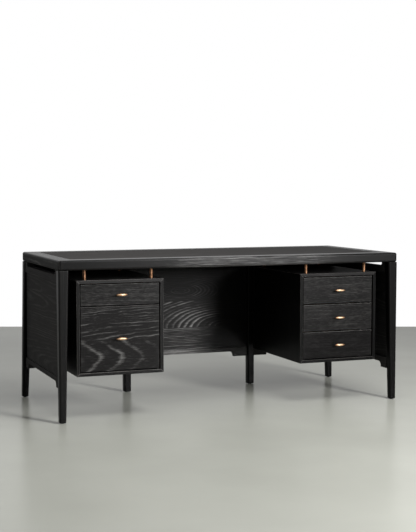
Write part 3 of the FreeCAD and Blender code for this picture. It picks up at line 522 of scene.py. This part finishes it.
birchPly, beech, zinc, nylon = (mottled(name) for name in plainLook)
for node in nodes:
    if node.endswith("_box"):
        coat(node, birchPly)
    elif node.endswith("_slides") or node in ("case_runners", "peg_bolts"):
        coat(node, zinc)
coat("leg_dowels", beech)
coat("leg_glides", nylon)
print("inner pieces finished")

# Camera, from the photograph's straight edges. The frame is 416 by 532 pixels.
cameraAt = {"place": (-2.207, -5.685, 1.121), "heading": 21.19, "down": 3.99, "focalPixels": 1168.4,
            "frameHeight": 532, "sensor": 36.0}
heading = math.radians(cameraAt["heading"])
ahead = np.array([math.sin(heading), math.cos(heading), 0.0])
toRight = np.array([math.cos(heading), -math.sin(heading), 0.0])
cameraData = bpy.data.cameras.new("camera")
cameraData.sensor_width = cameraAt["sensor"]
cameraData.lens = cameraAt["focalPixels"] * cameraAt["sensor"] / cameraAt["frameHeight"]
camera = bpy.data.objects.new("camera", cameraData)
camera.location = cameraAt["place"]
camera.rotation_euler = (math.radians(90 - cameraAt["down"]), 0.0, -heading)
bpy.context.scene.collection.objects.link(camera)
bpy.context.scene.camera = camera

# Floor: a satin poured resin, faintly clouded, that mirrors the legs softly; a level grid from the wall line
# towards the camera
floorLook = {"wallLine": 9.19, "reachFront": 10.0, "reachSide": 12.0, "step": 0.5, "level": -0.0005,  # m
             "low": "#b7b8af", "high": "#c0c1b8", "cloud": 1.3,  # waves of tone in a metre
             "rough": (0.2, 0.26), "gloss": 0.45}


def pouredFloor():
    # floor point = camera foot + ahead * u + right * v, for u to the wall line and v to both sides
    start = np.array(cameraAt["place"]) * (1, 1, 0) + (0, 0, floorLook["level"])
    u = np.arange(floorLook["wallLine"], -floorLook["reachFront"], -floorLook["step"])
    v = np.arange(-floorLook["reachSide"], floorLook["reachSide"] + floorLook["step"], floorLook["step"])
    points = start + u[:, None, None] * ahead + v[None, :, None] * toRight
    index = np.arange(len(u) * len(v)).reshape(len(u), len(v))
    faces = np.stack([index[1:, :-1], index[1:, 1:], index[:-1, 1:], index[:-1, :-1]], -1).reshape(-1, 4)
    mesh = bpy.data.meshes.new("floor")
    mesh.from_pydata(points.reshape(-1, 3).tolist(), [], faces.tolist())
    floor = bpy.data.objects.new("floor", mesh)
    bpy.context.scene.collection.objects.link(floor)
    material, tree = newMaterial("satinPouredResin")
    place = addNode(tree, "TexCoord")
    cloud = addNode(tree, "TexNoise", {"Vector": place.outputs["Object"], "Scale": floorLook["cloud"],
                                       "Detail": 4.0})
    colour = addNode(tree, "ValToRGB", {"Fac": cloud.outputs["Fac"]},
                     stops=[(lowAt, floorLook["low"]), (highAt, floorLook["high"])])
    smooth, coarse = floorLook["rough"]
    roughness = addNode(tree, "MapRange", {"Value": cloud.outputs["Fac"], "To Min": smooth, "To Max": coarse})
    shader = addNode(tree, "BsdfPrincipled", {
        "Base Color": colour.outputs["Color"], "Roughness": roughness.outputs[0],
        "Specular IOR Level": floorLook["gloss"]})
    addNode(tree, "OutputMaterial", {"Surface": shader.outputs[0]})
    mesh.materials.append(material)


pouredFloor()

# Studio light: a tall strip in front on the right, soft boxes high in front, overhead, on the left and
# behind, and a narrow strip that draws a light line down the front left corner
lamps = {
    "stripBox": {"place": (2.0, -4.8, 1.9), "aim": (-0.2, 0.0, 0.8), "size": (0.85, 1.6), "power": 310.0},
    "highBox": {"place": (0.6, -2.2, 3.6), "aim": (-0.3, -0.1, 0.3), "size": (1.4, 1.3), "power": 58.0},
    "topBox": {"place": (0.0, -0.6, 3.6), "aim": (0.0, -0.5, 0.0), "size": (3.0, 2.4), "power": 44.0},
    "leftBox": {"place": (-3.6, 0.6, 1.4), "aim": (-0.9, 0.0, 0.5), "size": (1.6, 1.6), "power": 14.0},
    "cornerStrip": {"place": (-3.7, -1.6, 0.9), "aim": (-0.9, -0.4, 0.6), "size": (0.4, 1.8), "power": 9.0},
    "backBox": {"place": (0.8, 4.6, 2.4), "aim": (0.0, 0.4, 0.6), "size": (2.4, 1.4), "power": 30.0},
}
for name, lamp in lamps.items():
    light = bpy.data.lights.new(name, "AREA")
    light.shape = "RECTANGLE"
    light.size, light.size_y = lamp["size"]
    light.energy = lamp["power"]
    holder = bpy.data.objects.new(name, light)
    aim = np.array(lamp["aim"]) - lamp["place"]
    level = math.hypot(aim[0], aim[1])
    holder.location = lamp["place"]
    holder.rotation_euler = (math.atan2(level, -aim[2]), 0.0, math.atan2(-aim[0], aim[1]))
    holder.visible_camera = False
    holder.visible_glossy = name != "backBox"  # the floor would mirror that one
    bpy.context.scene.collection.objects.link(holder)

# World: white to the camera. Gloss sees the wall behind the desk about half as bright as that, and the rest
# of the room nearly dark
worldLook = {
    "fill": 0.01, "roomGloss": 0.02,
    "wallGloss": (0.5, 0.4),  # at the left and the right of the wall
    "wallEnds": 0.2,  # sine of the angle to those ends
    "wallAhead": 0.6,  # cosine of the angle off the camera's heading within which the wall is whole
}
world = bpy.data.worlds.new("studio")
bpy.context.scene.world = world
world.use_nodes = True
worldTree = world.node_tree
worldTree.nodes.clear()
sky = addNode(worldTree, "TexCoord").outputs["Generated"]
towards = addNode(worldTree, "VectorMath", {0: sky, 1: tuple(ahead)}, operation="DOT_PRODUCT")
sidewards = addNode(worldTree, "VectorMath", {0: sky, 1: tuple(toRight)}, operation="DOT_PRODUCT")
wallLeft, wallRight = worldLook["wallGloss"]
wall = addNode(worldTree, "MapRange", {
    "Value": sidewards.outputs["Value"], "To Min": wallLeft, "To Max": wallRight,
    "From Min": -worldLook["wallEnds"], "From Max": worldLook["wallEnds"]})
room = addNode(worldTree, "MapRange", {
    "Value": towards.outputs["Value"], "From Min": 0.0, "From Max": worldLook["wallAhead"],
    "To Min": worldLook["roomGloss"], "To Max": wall.outputs[0]})
path = addNode(worldTree, "LightPath")
mirrored = addNode(worldTree, "Math", {0: path.outputs["Is Glossy Ray"],
                                       1: path.outputs["Is Transmission Ray"]}, operation="MAXIMUM")
lit = addNode(worldTree, "Mix", {"Factor": mirrored.outputs[0], "A": worldLook["fill"], "B": room.outputs[0]},
              data_type="FLOAT")
seen = addNode(worldTree, "Mix", {"Factor": path.outputs["Is Camera Ray"], "A": lit.outputs[0], "B": 1.0},
               data_type="FLOAT")
backdrop = addNode(worldTree, "Background", {"Color": seen.outputs[0], "Strength": 1.0})
addNode(worldTree, "OutputWorld", {"Surface": backdrop.outputs[0]})
bpy.context.scene.view_settings.view_transform = "Standard"
print("stage lit")
